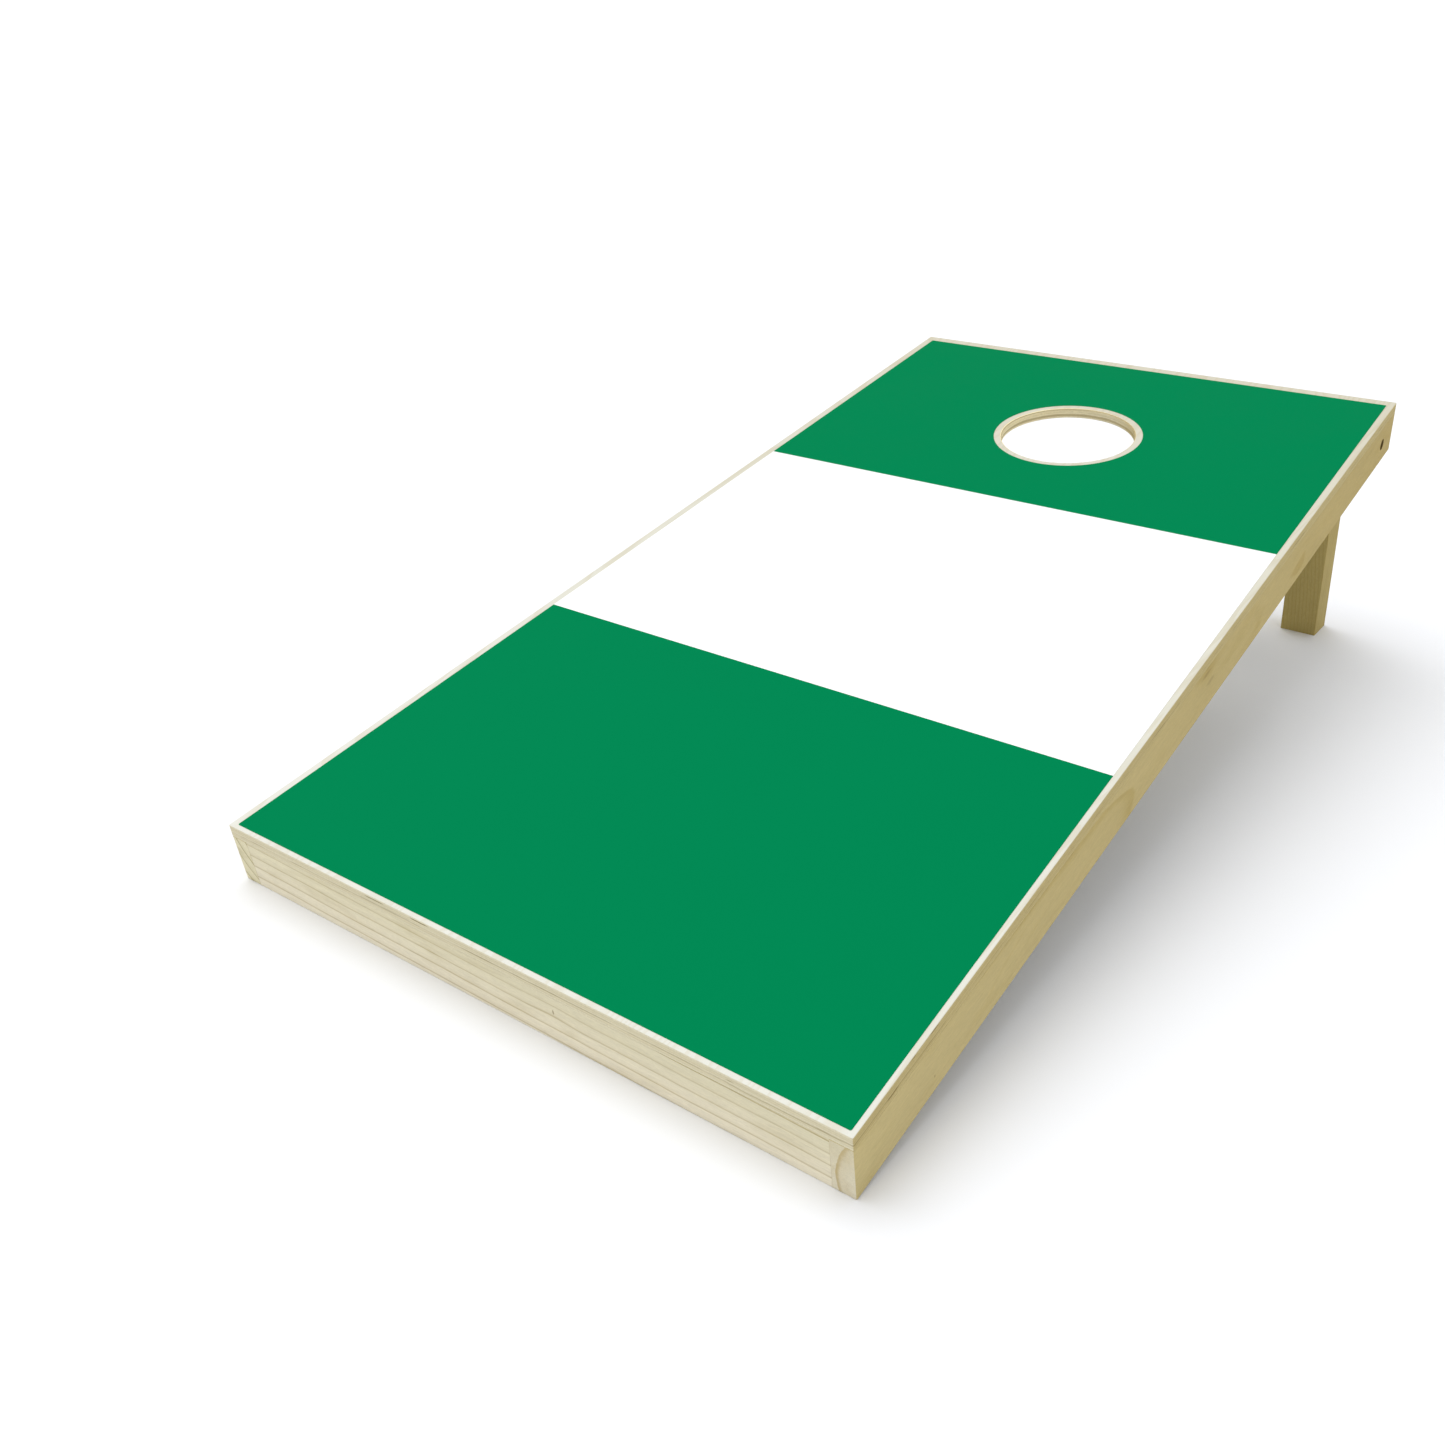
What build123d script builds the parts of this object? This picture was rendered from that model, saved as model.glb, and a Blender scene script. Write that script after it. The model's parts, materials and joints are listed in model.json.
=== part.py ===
from build123d import *
import math
import os

# Cornhole board: a plywood deck with a round bag hole, on a butt-jointed softwood frame, held up
# at the head by two legs that fold flat into the frame.
#
# Each piece is laid out in the board's own frame, in millimetres: X to the right, Y from the foot
# (the low end) to the head, Z square to the deck. x = 0 is the centre line, y = 0 the foot edge
# and z = 0 the deck's top face. stand_up() tilts the board to its playing pitch, with the origin
# at the bottom centre of the standing board's bounding box.

# Deck, to regulation size
DECK_WIDTH = 609.6  # 2 ft
DECK_LENGTH = 1219.2  # 4 ft
DECK_THICKNESS = 12.0
BACK_HEIGHT = 304.8  # 12 in, from the ground to the deck's top at the head
HOLE_RADIUS = 76.2  # 6 in across
HOLE_FROM_HEAD = 228.6  # 9 in, from the head edge to the hole's centre
DECK_EDGE_ROUND = 0.8
HOLE_EDGE_ROUND = 1.8  # the hole's upper edge

# Frame, of one size of softwood batten
RAIL_THICKNESS = 18.0
RAIL_DEPTH = 47.25
EDGE_ROUND = 1.0
SEAM_BEVEL = 0.3

# Coloured film on the deck: three bands with a bare margin around them and around the hole
FILM_THICKNESS = 0.3
FILM_MARGIN_FOOT = 4.5
FILM_MARGIN_HEAD = 13.0
FILM_MARGIN_LEFT = (7.3, 10.0)  # at the foot, at the head
FILM_MARGIN_RIGHT = (4.0, 8.0)
FILM_CORNER_RADIUS = 1.2
FILM_HOLE_RADIUS = 85.0
FOOT_BAND_END = 407.0
HEAD_BAND_START = 810.0

# Legs and the doubler blocks that they pivot on
LEG_WIDTH = 46.0
LEG_THICKNESS = 42.0
LEG_SPLAY = 2.0  # degrees past square, where the leg leans on the head rail
LEG_STOP_GAP = 0.15
LEG_DECK_GAP = 0.6
BLOCK_THICKNESS = 18.0
BLOCK_LENGTH = 110.0

# Pivot hardware, M6
BOLT_RADIUS = 3.0
BOLT_LENGTH = 80.0  # under the head
BOLT_HEAD_RADIUS = 5.0
BOLT_HEAD_HEIGHT = 6.0
BOLT_SOCKET_FLATS = 5.0
BOLT_SOCKET_DEPTH = 3.0
BOLT_HEAD_BEVEL = 0.5
COUNTERBORE_RADIUS = 6.5
COUNTERBORE_DEPTH = 10.0
BOLT_CLEARANCE = 0.08
FIXED_HOLE_CLEARANCE = 0.2
WASHER_THICKNESS = 1.6
HEAD_WASHER_RADIUS = 6.0
SPACER_RADIUS = 10.0
WASHER_RADIUS = 9.0
NUT_FLATS = 10.0
NUT_HEIGHT = 6.0
NUT_COLLAR_HEIGHT = 1.6
NUT_COLLAR_RADIUS = 4.2

# Pocket screws at the ends of the cross rails
POCKET_ANGLE = 15.0
POCKET_RADIUS = 4.75
POCKET_SEAT = 16.0  # from the pocket's shoulder to the rail's end, along the screw
POCKET_RUNOUT = 36.0
POCKET_LEVELS = (-24.0, -47.0)
SCREW_RADIUS = 2.0
SCREW_LENGTH = 28.0
SCREW_TIP = 4.0
SCREW_TIP_RADIUS = 0.4
SCREW_HEAD_RADIUS = 4.0
SCREW_HEAD_HEIGHT = 2.4
SCREW_DRIVE_FLATS = 3.0
SCREW_DRIVE_DEPTH = 1.4
PILOT_CLEARANCE = 0.05

# Countersunk screws that hold each doubler block
BLOCK_SCREW_INSET = 16.0
BLOCK_SCREW_PITCH = 34.0
BLOCK_SCREW_COLUMNS = 2
BLOCK_SCREW_SINK = 0.4
COUNTERSINK_DEPTH = 2.4

# Brads that hold the deck, set below its face and filled
BRAD_RADIUS = 0.6
BRAD_LENGTH = 32.0
BRAD_HEAD_RADIUS = 1.0
BRAD_HEAD_HEIGHT = 0.8
BRAD_SET = 1.5
BRAD_CLEARANCE = 0.05
SIDE_BRADS = 8
SIDE_BRAD_START = 60.0
SIDE_BRAD_END = 1159.0
CROSS_BRADS = 4
CROSS_BRAD_SPAN = 400.0

# Derived sizes
HALF_WIDTH = DECK_WIDTH / 2
RAIL_FACE = HALF_WIDTH - RAIL_THICKNESS  # inner face of a side rail
BLOCK_FACE = RAIL_FACE - BLOCK_THICKNESS
LEG_OUTER_FACE = BLOCK_FACE - WASHER_THICKNESS
LEG_INNER_FACE = LEG_OUTER_FACE - LEG_THICKNESS
SIDE_DEPTH = DECK_THICKNESS + RAIL_DEPTH
HEAD_RAIL_FACE = DECK_LENGTH - RAIL_THICKNESS
HOLE_Y = DECK_LENGTH - HOLE_FROM_HEAD
BRACE_Y = DECK_LENGTH / 2
RAIL_TOP = -DECK_THICKNESS
RAIL_BOTTOM = -SIDE_DEPTH

# The open leg's back face leans on the head rail's lower inner edge, and folded the leg lies
# LEG_DECK_GAP under the deck. The two together place the pivot.
PIVOT_Z = RAIL_TOP - LEG_DECK_GAP - LEG_WIDTH / 2
SPLAY = math.radians(LEG_SPLAY)
STOP_REACH = LEG_WIDTH / 2 + LEG_STOP_GAP + (PIVOT_Z - RAIL_BOTTOM) * math.sin(SPLAY)
PIVOT_Y = HEAD_RAIL_FACE - STOP_REACH / math.cos(SPLAY)
BOLT_SEAT = HALF_WIDTH - COUNTERBORE_DEPTH + WASHER_THICKNESS  # outer face of the head washer
NUT_FACE = LEG_INNER_FACE - WASHER_THICKNESS

# Playing pitch, from the height of the deck's top edge at the head
PITCH = math.asin(BACK_HEIGHT / math.hypot(DECK_LENGTH, SIDE_DEPTH)) - math.atan2(SIDE_DEPTH, DECK_LENGTH)
EDGE_CENTRE_DROP = (SIDE_DEPTH - EDGE_ROUND) * math.cos(PITCH) - EDGE_ROUND * math.sin(PITCH)
DECK_ORIGIN_HEIGHT = EDGE_CENTRE_DROP + EDGE_ROUND
LEG_BLANK = 320.0  # rough length below the pivot, before the foot is cut to the ground


def slab(x, y, z):
    """A box between three (low, high) pairs."""
    middle = Pos((x[0] + x[1]) / 2, (y[0] + y[1]) / 2, (z[0] + z[1]) / 2)
    return middle * Box(x[1] - x[0], y[1] - y[0], z[1] - z[0])


def rod(start, direction, radius, length):
    """A cylinder that starts at a point and runs along a direction."""
    base = Plane(origin=start, z_dir=direction)
    return base * Cylinder(radius, length, align=(Align.CENTER, Align.CENTER, Align.MIN))


def taper(start, direction, radius, end_radius, length):
    """A cone that starts at a point and runs along a direction."""
    base = Plane(origin=start, z_dir=direction)
    return base * Cone(radius, end_radius, length, align=(Align.CENTER, Align.CENTER, Align.MIN))


def prism(start, direction, flats, sides, length):
    """A regular prism, sized across its flats."""
    outline = RegularPolygon(flats / 2, sides, major_radius=False)
    return extrude(Plane(origin=start, z_dir=direction) * outline, length)


def mirrored(shape):
    """The same piece on the board's left."""
    return mirror(shape, about=Plane.YZ)


def pair(name, shape):
    """A right-hand piece and its left-hand twin, by node name."""
    return {f"{name}_right": shape, f"{name}_left": mirrored(shape)}


# Screws and the holes that take them


def pocket_lines(face_y, into):
    """(shoulder, direction) of each pocket screw in a cross rail. into is +1 or -1, the way from
    the pocketed face, at face_y, into the rail's thickness."""
    angle = math.radians(POCKET_ANGLE)
    lines = []
    for side in (1, -1):
        direction = Vector(side * math.cos(angle), into * math.sin(angle), 0)
        for level in POCKET_LEVELS:
            exit_point = Vector(side * RAIL_FACE, face_y + into * RAIL_THICKNESS / 2, level)
            lines.append((exit_point - direction * POCKET_SEAT, direction))
    return lines


def block_screw_lines():
    """(head face, direction) of each countersunk screw in the right-hand doubler block."""
    start_y = HEAD_RAIL_FACE - BLOCK_LENGTH + BLOCK_SCREW_INSET
    seat_ys = [start_y + n * BLOCK_SCREW_PITCH for n in range(BLOCK_SCREW_COLUMNS)]
    seats = [(y, level) for y in seat_ys for level in POCKET_LEVELS]
    return [(Vector(BLOCK_FACE + BLOCK_SCREW_SINK, y, z), Vector(1, 0, 0)) for y, z in seats]


def screw_body(seat, direction):
    """A screw's shank and point, from its seat on."""
    shank = SCREW_LENGTH - SCREW_TIP
    point = taper(seat + direction * shank, direction, SCREW_RADIUS, SCREW_TIP_RADIUS, SCREW_TIP)
    return rod(seat, direction, SCREW_RADIUS, shank) + point


def screw_drive(face, direction):
    """The square recess in a screw's head."""
    return prism(face, direction, SCREW_DRIVE_FLATS, 4, SCREW_DRIVE_DEPTH)


def pocket_screw(seat, direction):
    """A washer-head screw, whose head bears on the pocket's shoulder."""
    face = seat - direction * SCREW_HEAD_HEIGHT
    head = rod(face, direction, SCREW_HEAD_RADIUS, SCREW_HEAD_HEIGHT)
    return head + screw_body(seat, direction) - screw_drive(face, direction)


def pocket_cut(seat, direction):
    """A pocket and the pilot hole ahead of it."""
    pilot = rod(seat, direction, SCREW_RADIUS + PILOT_CLEARANCE, SCREW_LENGTH + PILOT_CLEARANCE)
    return pilot + rod(seat, -direction, POCKET_RADIUS, POCKET_RUNOUT)


def block_screw(face, direction):
    """A countersunk screw."""
    head = taper(face, direction, SCREW_HEAD_RADIUS, SCREW_RADIUS, COUNTERSINK_DEPTH)
    return head + screw_body(face, direction) - screw_drive(face, direction)


def block_screw_cut(face, direction):
    """The countersink and pilot hole of a block screw, open to the block's face."""
    wide = SCREW_HEAD_RADIUS + PILOT_CLEARANCE
    narrow = SCREW_RADIUS + PILOT_CLEARANCE
    mouth = rod(face, -direction, wide, BLOCK_SCREW_SINK)
    sink = taper(face, direction, wide, narrow, COUNTERSINK_DEPTH)
    return mouth + sink + rod(face, direction, narrow, SCREW_LENGTH + PILOT_CLEARANCE)


def evenly(first, last, count):
    """Evenly spaced values, both ends included."""
    return [first + n * (last - first) / (count - 1) for n in range(count)]


def brad_places():
    """(x, y) of every brad: a row into each rail and one into the brace."""
    edge_x = HALF_WIDTH - RAIL_THICKNESS / 2
    side_ys = evenly(SIDE_BRAD_START, SIDE_BRAD_END, SIDE_BRADS)
    side_rows = [(x, y) for x in (-edge_x, edge_x) for y in side_ys]
    cross_ys = (RAIL_THICKNESS / 2, BRACE_Y, DECK_LENGTH - RAIL_THICKNESS / 2)
    cross_xs = evenly(-CROSS_BRAD_SPAN / 2, CROSS_BRAD_SPAN / 2, CROSS_BRADS)
    return side_rows + [(x, y) for y in cross_ys for x in cross_xs]


def brad(x, y, clearance):
    """A headed brad, driven straight down. With a clearance it is the brad's hole."""
    down = Vector(0, 0, -1)
    top = Vector(x, y, -BRAD_SET + clearance)
    head = rod(top, down, BRAD_HEAD_RADIUS + clearance, BRAD_HEAD_HEIGHT + 2 * clearance)
    return head + rod(top, down, BRAD_RADIUS + clearance, BRAD_LENGTH + 2 * clearance)


def brad_cuts(keep):
    """The brad holes whose (x, y) passes a test."""
    return [brad(x, y, BRAD_CLEARANCE) for x, y in brad_places() if keep(x, y)]


# Wooden pieces


def deck_panel():
    panel = slab((-HALF_WIDTH, HALF_WIDTH), (0, DECK_LENGTH), (-DECK_THICKNESS, 0))
    panel = fillet(panel.edges().filter_by(Axis.Z), EDGE_ROUND)
    panel -= rod(Vector(0, HOLE_Y, -DECK_THICKNESS), Vector(0, 0, 1), HOLE_RADIUS, DECK_THICKNESS)
    for level, radius in ((-1, HOLE_EDGE_ROUND), (0, DECK_EDGE_ROUND)):
        rims = panel.edges().filter_by(GeomType.CIRCLE).filter_by(lambda edge: edge.radius == HOLE_RADIUS)
        panel = fillet(rims.sort_by(Axis.Z)[level], radius)
    panel = fillet(panel.faces().sort_by(Axis.Z)[-1].outer_wire().edges(), DECK_EDGE_ROUND)
    panel = chamfer(panel.faces().sort_by(Axis.Z)[0].outer_wire().edges(), SEAM_BEVEL)
    return panel - brad_cuts(lambda x, y: True)


def side_rail():
    """The right-hand side rail, full length, with its end grain showing at the foot and head."""
    rail = slab((RAIL_FACE, HALF_WIDTH), (0, DECK_LENGTH), (RAIL_BOTTOM, RAIL_TOP))
    outside = rail.edges().filter_by(Axis.Z).sort_by(Axis.X)[-2:]
    rail = fillet(outside + rail.edges().group_by(Axis.Z)[0], EDGE_ROUND)
    top = rail.faces().sort_by(Axis.Z)[-1].outer_wire().edges()
    rail = chamfer(top, SEAM_BEVEL)
    inward = Vector(-1, 0, 0)
    pivot = Vector(HALF_WIDTH, PIVOT_Y, PIVOT_Z)
    rail -= rod(pivot, inward, COUNTERBORE_RADIUS, COUNTERBORE_DEPTH)
    rail -= rod(pivot, inward, BOLT_RADIUS + FIXED_HOLE_CLEARANCE, RAIL_THICKNESS)
    rail -= [pocket_cut(*line) for line in all_pocket_lines() if line[1].X > 0]
    rail -= [block_screw_cut(*line) for line in block_screw_lines()]
    return rail - brad_cuts(lambda x, y: x > RAIL_FACE)


def all_pocket_lines():
    """The pocket screws of the foot rail, the head rail and the brace."""
    return foot_pocket_lines() + head_pocket_lines() + brace_pocket_lines()


def foot_pocket_lines():
    return pocket_lines(RAIL_THICKNESS, -1)


def head_pocket_lines():
    return pocket_lines(HEAD_RAIL_FACE, 1)


def brace_pocket_lines():
    return pocket_lines(BRACE_Y - RAIL_THICKNESS / 2, 1)


def cross_rail(start_y, outer_y, lines):
    """A rail between the side rails. outer_y is its outside face, or None under the deck."""
    rail = slab((-RAIL_FACE, RAIL_FACE), (start_y, start_y + RAIL_THICKNESS), (RAIL_BOTTOM, RAIL_TOP))
    rail = fillet(rail.edges().filter_by(Axis.X).group_by(Axis.Z)[0], EDGE_ROUND)
    if outer_y is not None:
        outer_face = rail.faces().filter_by(Axis.Y).sort_by(lambda face: abs(face.center().Y - outer_y))[0]
        ends = outer_face.edges().filter_by(Axis.Z)
        top = outer_face.edges().filter_by(Axis.X).sort_by(Axis.Z)[-1:]
        rail = chamfer(ends + top, SEAM_BEVEL)
    rail -= [pocket_cut(*line) for line in lines]
    return rail - brad_cuts(lambda x, y: start_y < y < start_y + RAIL_THICKNESS and abs(x) < RAIL_FACE)


def pivot_block():
    """The right-hand doubler that the leg pivots against."""
    start_y = HEAD_RAIL_FACE - BLOCK_LENGTH
    block = slab((BLOCK_FACE, RAIL_FACE), (start_y, HEAD_RAIL_FACE), (RAIL_BOTTOM, RAIL_TOP))
    bottom = block.edges().group_by(Axis.Z)[0].filter_by(Axis.Y).sort_by(Axis.X)[:1]
    foot_end = block.edges().group_by(Axis.Y)[0].filter_by(Axis.Z).sort_by(Axis.X)[:1]
    block = fillet(bottom + foot_end, EDGE_ROUND)
    hole_start = Vector(BLOCK_FACE, PIVOT_Y, PIVOT_Z)
    block -= rod(hole_start, Vector(1, 0, 0), BOLT_RADIUS + FIXED_HOLE_CLEARANCE, BLOCK_THICKNESS)
    return block - [block_screw_cut(*line) for line in block_screw_lines()]


def leg():
    """The right-hand leg, open: round at the pivot, and cut level with the ground at its foot."""
    half = LEG_WIDTH / 2
    outline = Circle(half) + Pos(0, -LEG_BLANK / 2) * Rectangle(LEG_WIDTH, LEG_BLANK)
    across = Plane(origin=(LEG_INNER_FACE, 0, 0), x_dir=(0, 1, 0), z_dir=(1, 0, 0))
    blank = extrude(across * outline, LEG_THICKNESS)
    sides = blank.faces().filter_by(Axis.X)
    blank = fillet(sides[0].edges() + sides[1].edges(), EDGE_ROUND)
    blank -= rod(Vector(LEG_INNER_FACE, 0, 0), Vector(1, 0, 0), BOLT_RADIUS + BOLT_CLEARANCE, LEG_THICKNESS)
    return Pos(0, PIVOT_Y, PIVOT_Z) * Rot(LEG_SPLAY, 0, 0) * blank - below_ground()


def below_ground():
    """Everything under the ground plane, in the board's frame."""
    size = DECK_LENGTH * 4
    ground = Pos(0, 0, -DECK_ORIGIN_HEIGHT - size / 2) * Box(size, size, size)
    return Rot(-math.degrees(PITCH), 0, 0) * ground


# Pivot hardware, on the right


def pivot_bolt():
    """A socket-head bolt, from its counterbore in the side rail to past the lock nut."""
    inward = Vector(-1, 0, 0)
    seat = Vector(BOLT_SEAT, PIVOT_Y, PIVOT_Z)
    top = seat - inward * BOLT_HEAD_HEIGHT
    head = rod(top, inward, BOLT_HEAD_RADIUS, BOLT_HEAD_HEIGHT)
    head = chamfer(head.edges().sort_by(Axis.X)[-1:], BOLT_HEAD_BEVEL)
    shank = rod(seat, inward, BOLT_RADIUS, BOLT_LENGTH)
    shank = chamfer(shank.edges().sort_by(Axis.X)[:1], BOLT_HEAD_BEVEL)
    return head + shank - prism(top, inward, BOLT_SOCKET_FLATS, 6, BOLT_SOCKET_DEPTH)


def washer(face_x, radius):
    """A flat ring on the pivot bolt, from face_x inwards."""
    inward = Vector(-1, 0, 0)
    start = Vector(face_x, PIVOT_Y, PIVOT_Z)
    ring = rod(start, inward, radius, WASHER_THICKNESS)
    return ring - rod(start, inward, BOLT_RADIUS + BOLT_CLEARANCE, WASHER_THICKNESS)


def lock_nut():
    """A hexagon nut with a round collar over its locking insert."""
    inward = Vector(-1, 0, 0)
    start = Vector(NUT_FACE, PIVOT_Y, PIVOT_Z)
    hexagon = prism(start, inward, NUT_FLATS, 6, NUT_HEIGHT - NUT_COLLAR_HEIGHT)
    nut = hexagon + rod(start, inward, NUT_COLLAR_RADIUS, NUT_HEIGHT)
    return nut - rod(start, inward, BOLT_RADIUS, NUT_HEIGHT)


# Coloured film


def film_x(side, y):
    """The film's edge on one side, +1 right or -1 left, at a distance y from the foot."""
    at_foot, at_head = FILM_MARGIN_RIGHT if side > 0 else FILM_MARGIN_LEFT
    margin = at_foot + (at_head - at_foot) * y / DECK_LENGTH
    return side * (HALF_WIDTH - margin)


def film_band(start_y, end_y, end_corners):
    """One band. end_corners are the y values whose two corners are rounded."""
    corners = [(film_x(-1, start_y), start_y), (film_x(1, start_y), start_y)]
    corners += [(film_x(1, end_y), end_y), (film_x(-1, end_y), end_y)]
    outline = make_face(Polyline(*corners, close=True))
    rounded = outline.vertices().filter_by(lambda corner: round(corner.Y, 3) in end_corners)
    if rounded:
        outline = fillet(rounded, FILM_CORNER_RADIUS)
    return extrude(outline, FILM_THICKNESS)


def film_head_band():
    end_y = DECK_LENGTH - FILM_MARGIN_HEAD
    band = film_band(HEAD_BAND_START, end_y, [end_y])
    return band - rod(Vector(0, HOLE_Y, 0), Vector(0, 0, 1), FILM_HOLE_RADIUS, FILM_THICKNESS)


# The whole board


def pieces():
    """Every node in the board's frame, by name."""
    nodes = {
        "deck_panel": deck_panel(),
        "foot_rail": cross_rail(0, 0, foot_pocket_lines()),
        "head_rail": cross_rail(HEAD_RAIL_FACE, DECK_LENGTH, head_pocket_lines()),
        "cross_brace": cross_rail(BRACE_Y - RAIL_THICKNESS / 2, None, brace_pocket_lines()),
        "film_foot_band": film_band(FILM_MARGIN_FOOT, FOOT_BAND_END, [FILM_MARGIN_FOOT]),
        "film_centre_band": film_band(FOOT_BAND_END, HEAD_BAND_START, []),
        "film_head_band": film_head_band(),
        "foot_rail_screws": Compound([pocket_screw(*line) for line in foot_pocket_lines()]),
        "head_rail_screws": Compound([pocket_screw(*line) for line in head_pocket_lines()]),
        "brace_screws": Compound([pocket_screw(*line) for line in brace_pocket_lines()]),
        "deck_brads": Compound([brad(x, y, 0) for x, y in brad_places()]),
    }
    nodes |= pair("side_rail", side_rail())
    nodes |= pair("pivot_block", pivot_block())
    nodes |= pair("block_screws", Compound([block_screw(*line) for line in block_screw_lines()]))
    nodes |= pair("leg", leg())
    nodes |= pair("pivot_bolt", pivot_bolt())
    nodes |= pair("head_washer", washer(BOLT_SEAT, HEAD_WASHER_RADIUS))
    nodes |= pair("spacer_washer", washer(BLOCK_FACE, SPACER_RADIUS))
    nodes |= pair("nut_washer", washer(LEG_INNER_FACE, WASHER_RADIUS))
    nodes |= pair("lock_nut", lock_nut())
    return nodes


def stand_up(nodes):
    """The nodes at the playing pitch, with the origin at the bottom centre of their box."""
    tilt = Pos(0, 0, DECK_ORIGIN_HEIGHT) * Rot(math.degrees(PITCH), 0, 0)
    tilted = {name: tilt * shape for name, shape in nodes.items()}
    boxes = [shape.bounding_box() for shape in tilted.values()]
    low = min(box.min.Y for box in boxes)
    high = max(box.max.Y for box in boxes)
    shift = Pos(0, -(low + high) / 2, 0)
    return {name: shift * shape for name, shape in tilted.items()}, shift * tilt


def main():
    os.makedirs("parts", exist_ok=True)
    nodes, placement = stand_up(pieces())
    for name, shape in nodes.items():
        export_step(shape, f"parts/{name}.step")
    print("nodes", len(nodes), "pitch", round(math.degrees(PITCH), 3))
    print("pivot", (placement * Pos(0, PIVOT_Y, PIVOT_Z)).position)


if __name__ == "__main__":
    main()
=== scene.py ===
import json
import math

import bmesh
import bpy
from mathutils import Matrix, Vector


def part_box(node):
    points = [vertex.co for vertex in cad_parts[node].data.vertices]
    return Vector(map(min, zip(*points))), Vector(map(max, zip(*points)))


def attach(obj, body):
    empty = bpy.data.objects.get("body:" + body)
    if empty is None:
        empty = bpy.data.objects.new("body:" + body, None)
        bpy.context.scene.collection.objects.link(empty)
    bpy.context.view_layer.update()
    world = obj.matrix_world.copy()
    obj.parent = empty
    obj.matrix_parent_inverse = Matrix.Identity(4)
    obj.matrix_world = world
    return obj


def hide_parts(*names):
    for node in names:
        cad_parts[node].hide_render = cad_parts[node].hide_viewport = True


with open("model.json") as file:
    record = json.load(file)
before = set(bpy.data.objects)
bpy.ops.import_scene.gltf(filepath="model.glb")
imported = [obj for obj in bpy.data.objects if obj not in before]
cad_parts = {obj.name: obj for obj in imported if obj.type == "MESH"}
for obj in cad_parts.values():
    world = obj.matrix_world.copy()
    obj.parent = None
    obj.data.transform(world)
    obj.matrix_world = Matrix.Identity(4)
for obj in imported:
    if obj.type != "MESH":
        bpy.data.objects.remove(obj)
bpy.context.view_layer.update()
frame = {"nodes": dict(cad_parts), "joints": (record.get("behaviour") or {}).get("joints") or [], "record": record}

# A cornhole board in its playing position: bare plywood deck with three bands of coloured film,
# softwood frame and legs, and the pivot hardware. Lengths in this script are metres, except inside
# the materials, which work in millimetres.

MM = 1000.0  # material units to one metre

# Sizes that the materials need, in millimetres
DECK_LENGTH = 1219.2
HOLE_FROM_FOOT = 990.6
HOLE_WALL_MIDDLE = 6.5  # under the deck's top
HOLE_RIM = 78.0  # radius where the hole's rounded rim begins
COUNTERBORE_RADIUS = 6.5
PLY = 2.4  # thickness of one veneer of the deck

MOUNTS = {mount["name"]: mount for mount in frame["record"]["mounts"]}
JOINTS = {joint["name"]: joint for joint in frame["joints"]}
NODES = frame["nodes"]


# Frames of reference


def board_frame():
    """Row metres to board millimetres: x right, y from the foot up the deck, z off its top face."""
    hole = MOUNTS["bag_hole"]
    normal = Vector(hole["axis"]).normalized()
    pitch = math.atan2(-normal.y, normal.z)
    along = Vector((0, math.cos(pitch), math.sin(pitch)))
    middle = Vector(hole["pos_m"])
    origin = middle + normal * (HOLE_WALL_MIDDLE / MM) - along * (HOLE_FROM_FOOT / MM)
    turn = Matrix.Rotation(pitch, 4, "X")
    return Matrix.Scale(MM, 4) @ (Matrix.Translation(origin) @ turn).inverted()


BOARD = board_frame()


def swapped(order):
    """A matrix that reorders axes: order names the source axis of each result axis."""
    rows = {"x": (1, 0, 0, 0), "y": (0, 1, 0, 0), "z": (0, 0, 1, 0)}
    return Matrix([rows[axis] for axis in order] + [(0, 0, 0, 1)])


def leg_frame(side):
    """Row metres to a leg's millimetres: x along it from the pivot, y across, z through it."""
    joint = JOINTS[f"{side}_leg_fold"]
    low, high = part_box(f"leg_{side}")
    pivot = Vector(joint["pos_m"])
    lean = math.atan2((low.y + high.y) / 2 - pivot.y, pivot.z)
    turn = Matrix.Rotation(lean, 4, "X")
    return swapped("zyx") @ Matrix.Scale(MM, 4) @ (Matrix.Translation(pivot) @ turn).inverted()


# Node materials


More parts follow.
